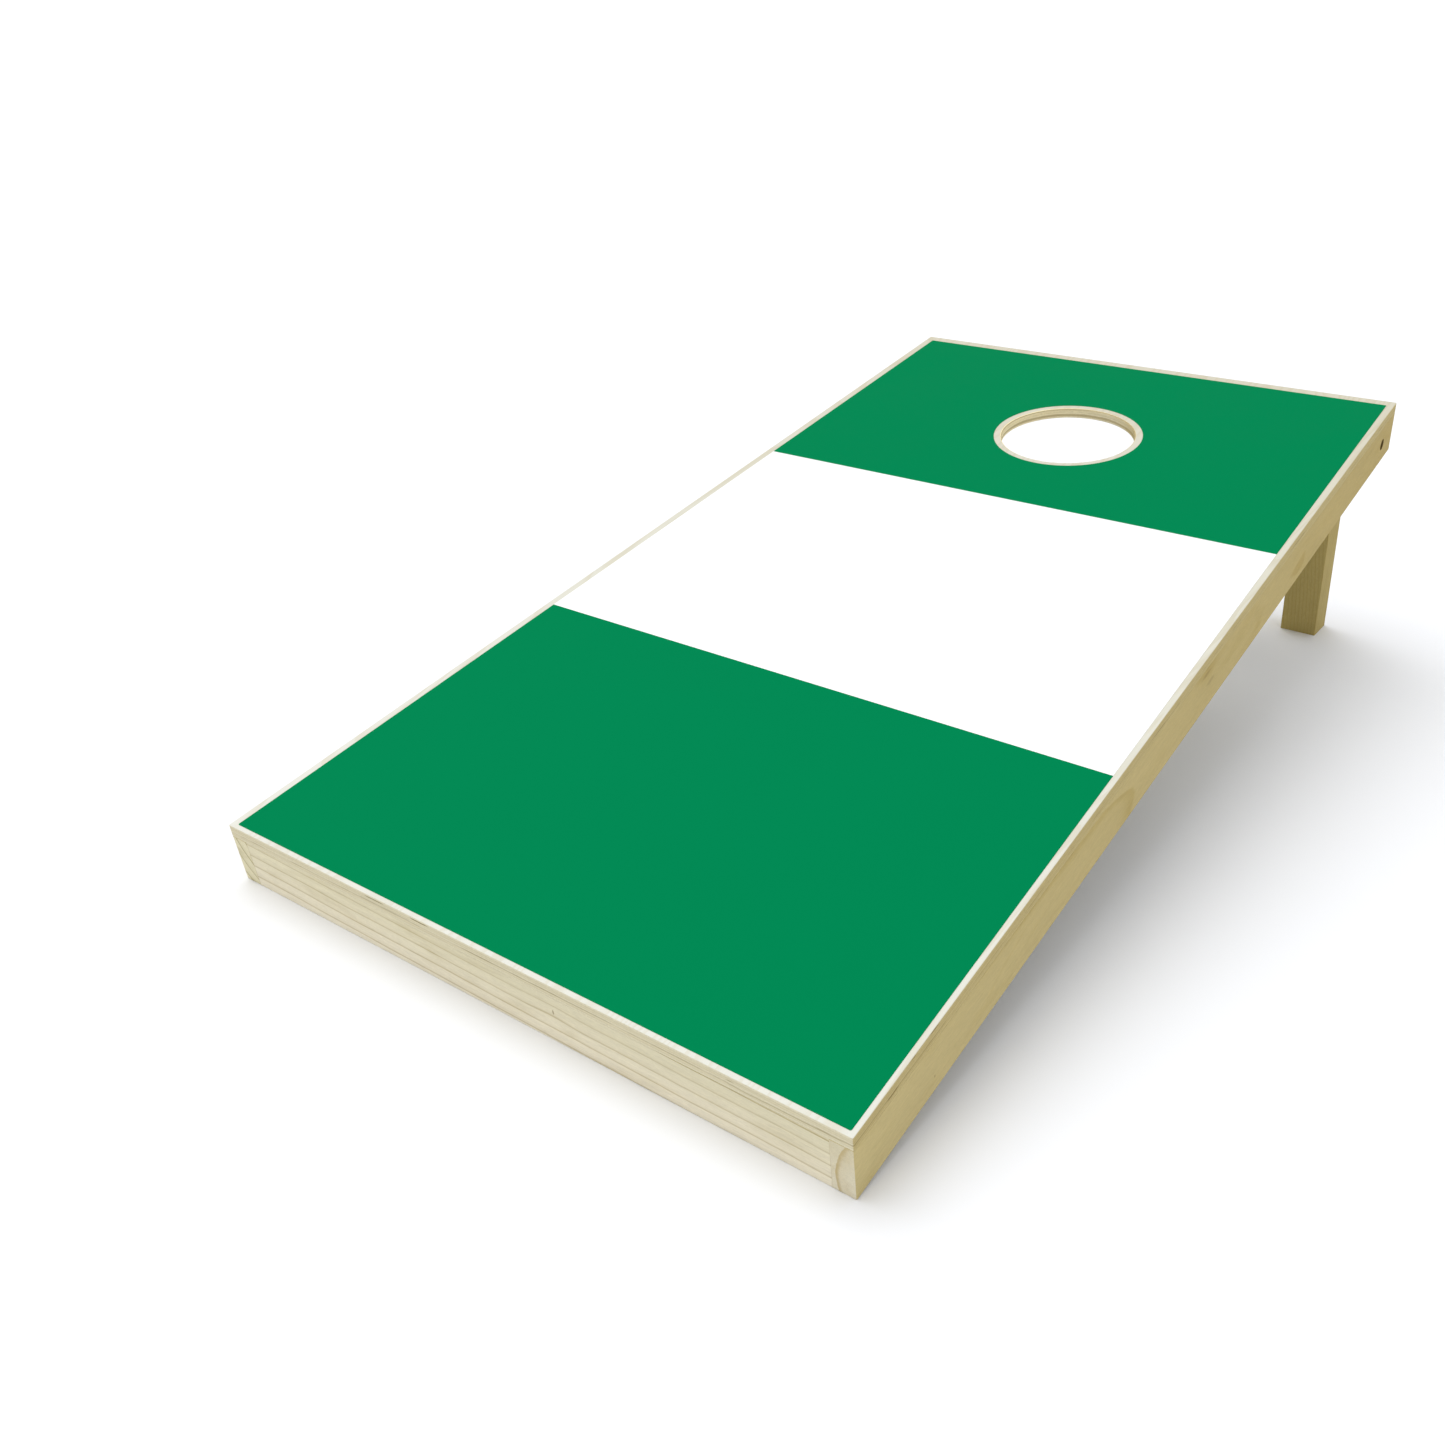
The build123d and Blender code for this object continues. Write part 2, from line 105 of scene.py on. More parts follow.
class Surface:
    """One node material, with short calls for the nodes that repeat."""

    def __init__(self, name):
        self.material = bpy.data.materials.new(name)
        self.material.use_nodes = True
        self.tree = self.material.node_tree
        self.shader = self.tree.nodes["Principled BSDF"]
        self.coordinates = self.tree.nodes.new("ShaderNodeTexCoord")

    def feed(self, socket, value):
        if isinstance(value, bpy.types.NodeSocket):
            self.tree.links.new(value, socket)
        elif value is not None:
            socket.default_value = value

    def node(self, kind, settings=None, **inputs):
        node = self.tree.nodes.new("ShaderNode" + kind)
        for name, value in (settings or {}).items():
            setattr(node, name, value)
        for name, value in inputs.items():
            self.feed(node.inputs[name.replace("_", " ")], value)
        return node

    def math(self, operation, *values):
        node = self.node("Math", {"operation": operation})
        for socket, value in zip(node.inputs, values):
            self.feed(socket, value)
        return node.outputs[0]

    def add(self, a, b):
        return self.math("ADD", a, b)

    def times(self, a, b):
        return self.math("MULTIPLY", a, b)

    def vector(self, x, y, z):
        return self.node("CombineXYZ", X=x, Y=y, Z=z).outputs[0]

    def split(self, vector):
        return self.node("SeparateXYZ", Vector=vector).outputs

    def hypot(self, a, b):
        return self.math("SQRT", self.add(self.times(a, a), self.times(b, b)))

    def millimetres(self):
        """The object's own coordinates, in millimetres."""
        return self.stretched(self.coordinates.outputs["Object"], MM, MM, MM)

    def mapped(self, matrix):
        """The object's own coordinates, carried by a matrix with one uniform scale."""
        place, turn, scale = matrix.decompose()
        node = self.node("Mapping", Vector=self.coordinates.outputs["Object"])
        node.inputs["Location"].default_value = place
        node.inputs["Rotation"].default_value = turn.to_euler("XYZ")
        node.inputs["Scale"].default_value = scale
        return node.outputs[0]

    def stretched(self, vector, x, y, z):
        node = self.node("VectorMath", {"operation": "MULTIPLY"})
        self.feed(node.inputs[0], vector)
        node.inputs[1].default_value = (x, y, z)
        return node.outputs[0]

    def noise(self, vector, scale=1.0, detail=2.0, roughness=0.5, distortion=0.0):
        """Noise from 0 to 1, mostly near 0.5."""
        node = self.node("TexNoise", Vector=vector, Scale=scale, Detail=detail)
        node.inputs["Roughness"].default_value = roughness
        node.inputs["Distortion"].default_value = distortion
        return node.outputs["Fac"]

    def step(self, value, low, high, to_low=0.0, to_high=1.0):
        """A smooth step from to_low to to_high while the value goes from low to high."""
        node = self.node("MapRange", {"interpolation_type": "SMOOTHSTEP"}, Value=value)
        for name, number in zip(("From Min", "From Max", "To Min", "To Max"), (low, high, to_low, to_high)):
            node.inputs[name].default_value = number
        return node.outputs[0]

    def window(self, value, begin, full, fade, end):
        """1 from full to fade and 0 before begin and after end, with smooth steps."""
        return self.times(self.step(value, begin, full), self.step(value, fade, end, 1.0, 0.0))

    def swing(self, noise, amount):
        """A noise moved to lie about zero, times an amount."""
        return self.times(self.add(noise, -0.5), amount)

    def mix(self, factor, a, b, blend="MIX"):
        node = self.node("Mix", {"data_type": "RGBA", "blend_type": blend})
        for index, value in ((0, factor), (6, a), (7, b)):
            self.feed(node.inputs[index], value)
        return node.outputs[2]

    def blend(self, factor, a, b):
        """Between two numbers."""
        node = self.node("Mix", {"data_type": "FLOAT"})
        for index, value in ((0, factor), (2, a), (3, b)):
            self.feed(node.inputs[index], value)
        return node.outputs[0]

    def tinted(self, colour, factor):
        """A colour times another."""
        return self.mix(1.0, colour, factor, "MULTIPLY")

    def shaded(self, colour, factor):
        """A colour times a grey factor."""
        return self.tinted(colour, self.vector(factor, factor, factor))

    def facing(self, axis):
        """How squarely the surface faces along an axis of the object, from 0 to 1."""
        node = self.node("VectorMath", {"operation": "DOT_PRODUCT"})
        self.feed(node.inputs[0], self.coordinates.outputs["Normal"])
        node.inputs[1].default_value = axis
        return self.math("ABSOLUTE", node.outputs["Value"])

    def finish(self, colour, roughness, height=None, relief=0.0001, specular=0.3):
        """Colour and roughness to the shader, and a bump of height 0 to 1 times relief metres."""
        self.feed(self.shader.inputs["Base Color"], colour)
        self.feed(self.shader.inputs["Roughness"], roughness)
        self.shader.inputs["Specular IOR Level"].default_value = specular
        if height is not None:
            bump = self.node("Bump", Height=height, Distance=relief, Strength=1.0)
            self.feed(self.shader.inputs["Normal"], bump.outputs[0])
        return self.material


def rgb(red, green, blue):
    """A shader colour from 8-bit display values."""

    def linear(value):
        value /= 255
        return value / 12.92 if value <= 0.04045 else ((value + 0.055) / 1.055) ** 2.4

    return (linear(red), linear(green), linear(blue), 1.0)


class Log:
    """How a piece was sawn from its log, in millimetres.

    pith is the heart's place across the piece and through it, and spacing the width of one year's ring.
    drift is the heart's slope along the piece, bends its steps (from, to, by how much) through the piece,
    and sway how far it wanders. seed gives each piece its own figure."""

    def __init__(self, pith, spacing, seed, drift=(0.0, 0.0), bends=(), sway=9.0):
        self.pith = pith
        self.spacing = spacing
        self.seed = seed
        self.drift = drift
        self.bends = bends
        self.sway = sway
        self.start = Vector((seed * 777.0, seed * 131.0, seed * 57.0))


class Timber:
    """The colours of planed softwood.

    early and late are the pale and the dark part of a ring, and end the end grain's pale colour at its top
    and its bottom, where a paler bottom is painted light, and its dark one. The last two are colour factors:
    painted shade that the piece reaches at the head, and painted light that it reaches at its bottom edge."""

    def __init__(self, early, late, end=None, fade=None, lower=None):
        self.early = early
        self.late = late
        self.end = end
        self.fade = fade
        self.lower = lower


# Noise in planed wood: how fine it is along the grain and across it, its detail and roughness, and how
# strongly it changes the tone
FIBRES = (0.035, 1.5, 4.0, 0.65, 0.26)
PORES = (0.25, 1.3, 2.0, 0.7, 0.26)
COARSE = (0.07, 0.45, 3.0, 0.6, 0.2)
BROAD = (0.006, 0.03, 3.0, 0.5, 0.12)

HEART_PACES = (0.0045, 0.0036)  # how quickly a log's heart wanders, across and through a piece
PAINTED_LIGHT_BOTTOM = -57.0  # the rails' painted light fades out between these heights, bottom to top
PAINTED_LIGHT_TOP = -14.0
KNOT_CORE = rgb(122, 102, 58)
# painted shade inside the counterbores
BORE_PAINTED_SHADE = rgb(94, 73, 28)


def log_radius(s, place, grainy, log):
    """Distance from the heart of the log, which wanders away from pith."""
    along, across, through = s.split(place)
    offsets = []
    for value, centre, slope, pace, bends in zip(
        (across, through), log.pith, log.drift, HEART_PACES, ((), log.bends)
    ):
        offset = s.add(s.add(value, -centre), s.times(along, slope))
        for begin, finish, amount in bends:
            offset = s.add(offset, s.step(along, begin, finish, 0.0, amount))
        wander = s.noise(s.stretched(grainy, pace, 0.0, 0.0), detail=1.0)
        origin = s.noise(s.vector(log.start.x * pace, 0.0, 0.0), detail=1.0)
        offsets.append(s.add(offset, s.times(s.math("SUBTRACT", wander, origin), log.sway)))
    waver = s.noise(s.stretched(grainy, 0.012, 0.05, 0.05), detail=3.0)
    return s.add(s.hypot(*offsets), s.swing(waver, log.spacing * 0.25))


def add_knots(s, place, radius, knots):
    """Pushes the rings aside at each small knot, and returns their radius and how dark the knots are."""
    along, across, _ = s.split(place)
    dark = 0.0
    for knot_along, knot_across, size, stretch, strength in knots:
        dx = s.add(along, -knot_along)
        dy = s.add(across, -knot_across)
        near = s.add(s.times(s.times(dx, dx), 0.12), s.times(dy, dy))
        swell = s.math("EXPONENT", s.times(near, -0.5 / (size * 2.5) ** 2))
        radius = s.add(radius, s.times(swell, size * 1.2))
        span = s.hypot(s.times(dx, stretch ** -0.5), s.times(dy, stretch ** 0.5))
        dark = s.math("MAXIMUM", s.step(span, size * 0.35, size, strength, 0.0), dark)
    return radius, dark


def year_rings(s, radius, log):
    """Each ring goes from pale early wood to a narrow late line with a sharp outer side, from 0 to 1."""
    turns = s.times(radius, 1.0 / log.spacing)
    phase = s.math("FRACT", turns)
    shade = s.times(s.math("POWER", phase, 3.0), 0.35)
    line = s.times(s.step(phase, 0.80, 0.95), 0.65)
    ring = s.times(s.add(shade, line), s.step(phase, 0.965, 1.0, 1.0, 0.0))
    year = s.noise(s.vector(s.math("FLOOR", turns), log.seed, 0.0), scale=3.7)
    return s.times(ring, s.step(year, 0.25, 0.7, 0.6, 1.0))


def grain_noise(s, grainy, layer):
    fine_along, fine_across, detail, roughness, _ = layer
    fine = s.stretched(grainy, fine_along, fine_across, fine_across)
    return s.noise(fine, detail=detail, roughness=roughness)


def drilled(s, place, bore):
    """1 inside a drilled seat, whose place along and across the grain and radius are bore."""
    along, across, _ = s.split(place)
    bore_along, bore_across, radius = bore
    reach = s.hypot(s.add(along, -bore_along), s.add(across, -bore_across))
    return s.step(reach, radius, radius + 0.25, 1.0, 0.0)


def softwood(name, grain, log, timber, knots=(), bore=None):
    """Planed softwood. The rings that the piece's faces cut give the lines, the tongues and the end grain.

    grain carries row metres to millimetres with x along the grain. knots are small: place, radius, how
    far each is drawn out along the grain, and how dark. bore is the place and radius of a drilled seat,
    whose inside is painted dark as shade."""
    s = Surface(name)
    place = s.mapped(grain)
    along, across, _ = s.split(place)
    seeded = s.node("VectorMath", {"operation": "ADD"})
    s.feed(seeded.inputs[0], place)
    seeded.inputs[1].default_value = log.start
    grainy = seeded.outputs[0]

    radius, knot = add_knots(s, place, log_radius(s, place, grainy, log), knots)
    ring = year_rings(s, radius, log)
    fibres = grain_noise(s, grainy, FIBRES)
    axis = grain.to_3x3().normalized().transposed() @ Vector((1, 0, 0))
    end_grain = s.step(s.facing(axis), 0.75, 0.9)
    end_pores = s.noise(grainy, scale=1.4, detail=3.0, roughness=0.7)
    # 1 at the bottom edge and 0 at the top: how far the painted light near the floor reaches
    depth = s.step(across, PAINTED_LIGHT_BOTTOM, PAINTED_LIGHT_TOP, 1.0, 0.0)

    # rings, and warm patches between them
    early, late = timber.early, timber.late
    # the end grain's colour goes from its top to its bottom; a paler bottom is painted light
    if timber.end:
        top, bottom, dark = timber.end
        early = s.mix(end_grain, early, s.mix(depth, top, bottom))
        late = s.mix(end_grain, late, dark)
    warm = s.noise(s.stretched(grainy, 0.009, 0.045, 0.045), detail=2.0, distortion=1.2)
    colour = s.mix(s.add(ring, s.times(s.step(warm, 0.48, 0.75), 0.3)), early, late)

    # fibres, pores, short resin flecks and broad changes of tone
    tone = s.add(1.0, s.swing(fibres, FIBRES[-1]))
    for layer in (PORES, COARSE, BROAD):
        tone = s.add(tone, s.swing(grain_noise(s, grainy, layer), layer[-1]))
    flecks = s.step(s.noise(s.stretched(grainy, 0.05, 0.9, 0.9), detail=1.0), 0.7, 0.78)
    tone = s.add(tone, s.times(flecks, -0.06))
    tone = s.add(tone, s.times(end_grain, s.swing(end_pores, 0.14)))
    colour = s.shaded(colour, tone)

    # painted shade, darker towards the head
    if timber.fade:
        factor = s.mix(s.times(along, 1 / DECK_LENGTH), rgb(255, 255, 255), timber.fade)
        colour = s.tinted(colour, factor)
    # painted light, strongest at the bottom edge
    if timber.lower:
        colour = s.mix(depth, colour, s.tinted(colour, timber.lower))
    if knots:
        colour = s.mix(knot, colour, KNOT_CORE)
    # painted shade inside the drilled seat
    if bore:
        colour = s.mix(s.times(drilled(s, place, bore), 0.85), colour, BORE_PAINTED_SHADE)

    height = s.add(s.times(ring, 0.35), s.times(fibres, 0.5))
    height = s.add(height, s.times(end_grain, end_pores))
    gloss = s.step(fibres, 0.3, 0.7, 0.56, 0.66)
    return s.finish(colour, gloss, height, relief=0.00012, specular=0.03)


# Streaks in the deck's cut edges, in millimetres: which edge, from, to, how deep and how dark
EDGE_STREAKS = (
    ("foot", -138.0, -113.0, 2.4, 0.8), ("foot", -87.0, -64.0, 2.2, 0.9), ("foot", 208.0, 216.0, 4.5, 0.9),
    ("foot", -146.0, -85.0, 6.2, 0.35), ("foot", -29.0, 115.0, 6.9, 0.35), ("foot", 207.0, 300.0, 7.8, 0.4),
    ("right", 38.0, 58.0, 7.9, 0.9), ("right", 69.0, 81.0, 1.0, 0.6), ("right", 95.0, 111.0, 1.0, 0.7),
    ("right", -2.0, 120.0, 7.5, 0.3), ("right", 480.0, 540.0, 7.0, 0.3), ("right", 830.0, 880.0, 6.5, 0.3),
)
STREAK_END = 6.0  # over which a streak fades in and out
STREAK_BROWN = rgb(122, 108, 62)
GLUE_BROWN = rgb(172, 150, 102)
CORE_BROWN = rgb(138, 120, 72)
CORE_DEPTH = 2.85 * PLY  # of the dark line in the middle ply
# painted shade for the deck's side edges
SIDE_EDGE_PAINTED_SHADE = rgb(227, 216, 180)
# painted light for the hole's wall
HOLE_WALL_PAINTED_LIGHT = (1.44, 1.41, 1.28, 1.0)
HOLE_BROWN = rgb(160, 138, 88)


def edge_streaks(s, x, y, z):
    """How dark the streaks are, from 0 to 1."""
    edges = {"foot": (x, s.step(y, 1.0, 3.0, 1.0, 0.0)), "right": (y, s.step(x, 301.0, 303.0))}
    wander = s.noise(s.vector(s.times(x, 0.05), s.times(y, 0.05), 0.0), detail=2.0)
    level = s.add(z, s.swing(wander, 1.6))
    dark = 0.0
    for edge, begin, finish, depth, strength in EDGE_STREAKS:
        along, mask = edges[edge]
        off = s.math("ABSOLUTE", s.add(level, depth))
        streak = s.times(s.step(off, 0.2, 0.8, strength, 0.0), mask)
        length = s.window(along, begin, begin + STREAK_END, finish - STREAK_END, finish)
        dark = s.math("MAXIMUM", s.times(streak, length), dark)
    return dark


def ply_face(s, place, fibres):
    """A rotary-cut face: broad pale figure along the deck, fine fibres, painted shade growing to the head."""
    y = s.split(place)["Y"]
    figure = s.noise(s.stretched(place, 0.011, 0.0013, 0.02), detail=2.0, distortion=0.6)
    bands = s.window(s.math("FRACT", s.times(figure, 26.0)), 0.3, 0.9, 0.93, 1.0)
    mottle = s.noise(s.stretched(place, 0.05, 0.02, 0.05), detail=3.0)
    # painted shade: the face darkens from foot to head
    painted_shade_sheet = s.mix(s.times(y, 1 / DECK_LENGTH), rgb(219, 218, 208), rgb(202, 197, 178))
    colour = s.mix(s.times(bands, 0.4), painted_shade_sheet, s.tinted(painted_shade_sheet, rgb(240, 233, 217)))
    tone = s.add(1.0, s.swing(fibres, 0.12))
    return s.shaded(colour, s.add(tone, s.swing(mottle, 0.08)))


def ply_edge(s, place):
    """Plies whose grain runs by turns along and across the deck: the colour, and the grain's noise."""
    x, y, z = s.split(place)
    layer = s.times(z, -1.0 / PLY)
    crossed = s.math("MODULO", s.math("FLOOR", layer), 2.0)
    long_grain = s.noise(s.stretched(place, 0.9, 0.02, 0.9), detail=3.0, roughness=0.6)
    cross_grain = s.noise(s.stretched(place, 0.02, 0.9, 0.9), detail=3.0, roughness=0.6)
    streaks = s.blend(crossed, long_grain, cross_grain)
    specks = s.noise(s.stretched(place, 0.45, 0.45, 0.9), detail=3.0, roughness=0.7)
    colour = s.mix(s.times(crossed, 0.3), rgb(213, 205, 177), rgb(199, 187, 149))
    tone = s.add(1.0, s.swing(streaks, 0.34))
    colour = s.shaded(colour, s.add(tone, s.swing(specks, 0.34)))

    # glue lines between the plies, a dark line in the middle ply, and the long streaks
    glue = s.step(s.math("PINGPONG", layer, 0.5), 0.03, 0.14, 1.0, 0.0)
    uneven = s.noise(s.stretched(place, 0.02, 0.02, 0.4), detail=2.0)
    glue = s.times(glue, s.step(uneven, 0.35, 0.6, 0.1, 0.8))
    colour = s.mix(s.times(glue, 0.6), colour, GLUE_BROWN)
    off = s.math("ABSOLUTE", s.add(z, CORE_DEPTH))
    uneven = s.noise(s.stretched(place, 0.035, 0.035, 0.1), detail=3.0, roughness=0.6)
    core = s.times(s.step(off, 0.3, 0.9, 1.0, 0.0), s.step(uneven, 0.42, 0.66, 0.1, 1.0))
    colour = s.mix(s.times(core, 0.42), colour, CORE_BROWN)
    return s.mix(edge_streaks(s, x, y, z), colour, STREAK_BROWN), streaks


def ply_sides(s, place, reach, colour):
    """Side edges are browner, painted shade. The hole's wall is paler, painted light strongest at its left,
    with a brown ply and a brown line at its rim.
    """
    x, _, z = s.split(place)
    along_side = BOARD.to_3x3().normalized().transposed() @ Vector((1, 0, 0))
    inside = s.step(reach, HOLE_RIM, HOLE_RIM + 1.0, 1.0, 0.0)
    # painted light on the hole's wall, strongest on its left
    painted_wall_light = s.times(inside, s.step(x, -HOLE_RIM, HOLE_RIM, 1.0, 0.1))
    # painted shade on the edges that face the sides
    painted_side_shade = s.times(s.step(s.facing(along_side), 0.2, 1.0), s.math("SUBTRACT", 1.0, painted_wall_light))
    colour = s.mix(painted_side_shade, colour, s.tinted(colour, SIDE_EDGE_PAINTED_SHADE))
    colour = s.mix(painted_wall_light, colour, s.tinted(colour, HOLE_WALL_PAINTED_LIGHT))
    brown_ply = s.times(s.window(z, -9.8, -9.2, -7.6, -7.0), 0.55)
    brown_rim = s.times(s.window(z, -1.9, -1.3, -0.7, -0.3), 0.7)
    return s.mix(s.times(inside, s.math("MAXIMUM", brown_ply, brown_rim)), colour, HOLE_BROWN)


def plywood(name):
    """Bare sanded plywood of five plies. Its faces stop at the hole's rounded rim."""
    s = Surface(name)
    place = s.mapped(BOARD)
    x, y, _ = s.split(place)
    reach = s.hypot(x, s.add(y, -HOLE_FROM_FOOT))
    normal = BOARD.to_3x3().normalized().transposed() @ Vector((0, 0, 1))
    face = s.times(s.step(s.facing(normal), 0.55, 0.8), s.step(reach, HOLE_RIM - 0.7, HOLE_RIM))
    fibres = s.noise(s.stretched(place, 1.3, 0.03, 1.3), detail=4.0, roughness=0.65)
    edge_colour, streaks = ply_edge(s, place)
    edge_colour = ply_sides(s, place, reach, edge_colour)
    colour = s.mix(face, edge_colour, ply_face(s, place, fibres))
    gloss = s.step(fibres, 0.3, 0.7, 0.55, 0.66)
    return s.finish(colour, gloss, s.blend(face, streaks, fibres), relief=0.0001, specular=0.03)


def film(name, colour):
    """Printed vinyl film: even colour, a faint orange-peel surface and soft gloss."""
    s = Surface(name)
    place = s.mapped(BOARD)
    peel = s.noise(place, scale=0.55, detail=2.0)
    cloud = s.noise(place, scale=0.012, detail=3.0)
    tone = s.add(1.0, s.swing(cloud, 0.03))
    gloss = s.step(cloud, 0.3, 0.7, 0.42, 0.5)
    return s.finish(s.shaded(colour, tone), gloss, peel, relief=0.00001, specular=0.003)


def metal(name, colour, roughness, metallic=1.0, specular=0.5):
    """Plated steel: fine mottling in tone and gloss."""
    s = Surface(name)
    place = s.millimetres()
    mottle = s.noise(place, scale=0.6, detail=4.0, roughness=0.7)
    grain = s.noise(place, scale=6.0, detail=2.0)
    s.shader.inputs["Metallic"].default_value = metallic
    tone = s.step(mottle, 0.3, 0.7, 0.85, 1.05)
    gloss = s.step(mottle, 0.3, 0.7, roughness, roughness + 0.15)
    return s.finish(s.shaded(colour, tone), gloss, grain, relief=0.00002, specular=specular)


def nylon(name):
    """Natural nylon: milky, slightly waxy."""
    s = Surface(name)
    cloud = s.noise(s.millimetres(), scale=0.3, detail=3.0)
    s.shader.inputs["Subsurface Weight"].default_value = 0.15
    s.shader.inputs["Subsurface Scale"].default_value = 0.002
    colour = s.mix(cloud, rgb(236, 233, 220), rgb(222, 218, 202))
    gloss = s.step(cloud, 0.3, 0.7, 0.35, 0.45)
    return s.finish(colour, gloss, cloud, relief=0.00002, specular=0.4)


def dress(node, material):
    """Gives a CAD node one material."""
    slots = NODES[node].data.materials
    slots.clear()
    slots.append(material)


PAINTED_SHADE_TO_HEAD = rgb(236, 229, 208)  # painted shade: how much the side rails darken from foot to head
PINE = Timber(rgb(217, 209, 180), rgb(180, 166, 124))
# painted light: the foot rail is lighter and less yellow at its bottom edge
FOOT_PINE = Timber(PINE.early, PINE.late, lower=(1.14, 1.14, 1.25, 1.0))
# painted shade: the side rails' long-grain faces are a darker, yellower copy of the pine
SIDE_PINE_IN_PAINTED_SHADE = (rgb(195, 179, 129), rgb(183, 164, 106))
# the right rail's end grain is paler at the bottom than at the top: painted light
RIGHT_END = (rgb(208, 199, 170), rgb(219, 211, 187), rgb(184, 164, 116))
LEFT_END = (rgb(220, 212, 180), rgb(220, 212, 180), rgb(160, 148, 100))
RIGHT_PINE = Timber(*SIDE_PINE_IN_PAINTED_SHADE, end=RIGHT_END, fade=PAINTED_SHADE_TO_HEAD)
LEFT_PINE = Timber(*SIDE_PINE_IN_PAINTED_SHADE, end=LEFT_END, fade=PAINTED_SHADE_TO_HEAD)
LEG_PINE = Timber(rgb(174, 156, 98), rgb(161, 140, 83))

# Each piece's own log. Across and through are the board's z and y on the rails that run crossways, and
# its z and x on those that run lengthways.
FOOT_LOG = Log((250.0, 9.0), 11.8, seed=1.0, drift=(0.021, 0.0), sway=4.0)
HEAD_LOG = Log((40.0, 1260.0), 9.0, seed=2.0)
BRACE_LOG = Log((-90.0, 640.0), 7.0, seed=3.0)
RIGHT_BENDS = (
    (0.0, 391.0, -7.3), (375.0, 475.0, -8.7), (690.0, 742.0, 1.0), (746.0, 800.0, -1.0),
    (810.0, 880.0, 1.5), (884.0, 912.0, -1.5),
)
RIGHT_LOG = Log((-45.0, 354.7), 21.8, seed=4.0, bends=RIGHT_BENDS, sway=2.0)
LEFT_LOG = Log((18.0, -216.3), 11.2, seed=5.0, sway=20.0)

# Small knots: place along and across the grain, radius, how far drawn out along the grain, and how dark
FOOT_KNOTS = ((55.0, -27.2, 2.0, 0.35, 0.6),)
RIGHT_KNOTS = (
    (102.0, -45.0, 1.4, 0.6, 0.6), (606.0, -18.5, 6.5, 5.0, 0.34), (618.0, -32.0, 7.0, 4.0, 0.28),
)

CROSSWAYS = swapped("xzy") @ BOARD
LENGTHWAYS = swapped("yzx") @ BOARD


def dress_wood():
    dress("deck_panel", plywood("plywood"))
    dress("foot_rail", softwood("foot_rail_pine", CROSSWAYS, FOOT_LOG, FOOT_PINE, knots=FOOT_KNOTS))
    dress("head_rail", softwood("head_rail_pine", CROSSWAYS, HEAD_LOG, PINE))
    dress("cross_brace", softwood("brace_pine", CROSSWAYS, BRACE_LOG, PINE))
    pivot = BOARD @ Vector(JOINTS["right_leg_fold"]["pos_m"])
    bore = (pivot.y, pivot.z, COUNTERBORE_RADIUS)
    right = softwood("right_rail_pine", LENGTHWAYS, RIGHT_LOG, RIGHT_PINE, knots=RIGHT_KNOTS, bore=bore)
    dress("side_rail_right", right)
    dress("side_rail_left", softwood("left_rail_pine", LENGTHWAYS, LEFT_LOG, LEFT_PINE, bore=bore))
    for side, sign in (("left", -1), ("right", 1)):
        block_log = Log((30.0, sign * 250.0), 8.0, seed=6.0 + sign)
        dress(f"pivot_block_{side}", softwood(f"{side}_block_pine", LENGTHWAYS, block_log, PINE))
        leg_log = Log((60.0, -90.0), 3.6, seed=9.0 + sign)
        dress(f"leg_{side}", softwood(f"{side}_leg_pine", leg_frame(side), leg_log, LEG_PINE))


def dress_film():
    green = film("green_film", rgb(0, 124, 75))
    dress("film_foot_band", green)
    dress("film_head_band", green)
    dress("film_centre_band", film("white_film", rgb(242, 242, 242)))


# Turned metal parts, in millimetres along their own axis from the head, and then placed in the row


def circle(radius):
    """A ring's radius by angle: round."""
    return lambda angle: radius


def polygon(flats, sides):
    """A ring's radius by angle: a regular polygon, sized across its flats."""
    half = math.pi / sides
    return lambda angle: flats / 2 / math.cos((angle + half) % (2 * half) - half)


def trimmed(shape, limit):
    """A shape with its corners turned down to a circle."""
    return lambda angle: min(shape(angle), limit)


def knurled(radius, depth, teeth):
    """A round shape with teeth."""
    return lambda angle: radius - depth * (1 - math.cos(teeth * angle)) / 2


def thread(along, core, crest, pitch):
    """A ring across a screw thread, at a distance along it."""

    def radius(angle):
        turn = (along / pitch - angle / (2 * math.pi)) % 1
        return core + (crest - core) * (1 - abs(2 * turn - 1))

    return radius


THREAD_RINGS = 8  # to one turn of thread
TIP_TAPER = 4.0  # a tapered tip is one quarter of the thread


def threaded(start, end, core, crest, pitch, tip=1.0):
    """The rings of a thread, whose last stretch tapers to tip times its radius."""
    steps = round((end - start) / pitch * THREAD_RINGS)
    rings = []
    for n in range(steps + 1):
        along = start + (end - start) * n / steps
        fade = min(1.0, (end - along) / (end - start) * TIP_TAPER)
        scale = tip + (1 - tip) * fade
        rings.append((along, thread(along, core * scale, crest * scale, pitch)))
    return rings


def turn_solid(form, rings, start, direction, segments=48, open_ring=False):
    """Adds a turned solid to a bmesh. An open ring has a hole: its last loop meets its first."""
    turn = direction.to_track_quat("Z", "Y").to_matrix().to_4x4()
    place = Matrix.Translation(start) @ turn @ Matrix.Scale(1 / MM, 4)
    angles = [2 * math.pi * n / segments for n in range(segments)]
    loops = []
    for along, radius in rings:
        points = [(radius(a) * math.cos(a), radius(a) * math.sin(a), along) for a in angles]
        loops.append([form.verts.new(place @ Vector(point)) for point in points])
    pairs = list(zip(loops, loops[1:]))
    if open_ring:
        pairs.append((loops[-1], loops[0]))
    for near, far in pairs:
        for n in range(segments):
            m = (n + 1) % segments
            form.faces.new((near[n], near[m], far[m], far[n]))
    if not open_ring:
        form.faces.new(loops[0])
        form.faces.new(loops[-1])


SHARP_ANGLE = 32  # degrees, above which an edge is sharp


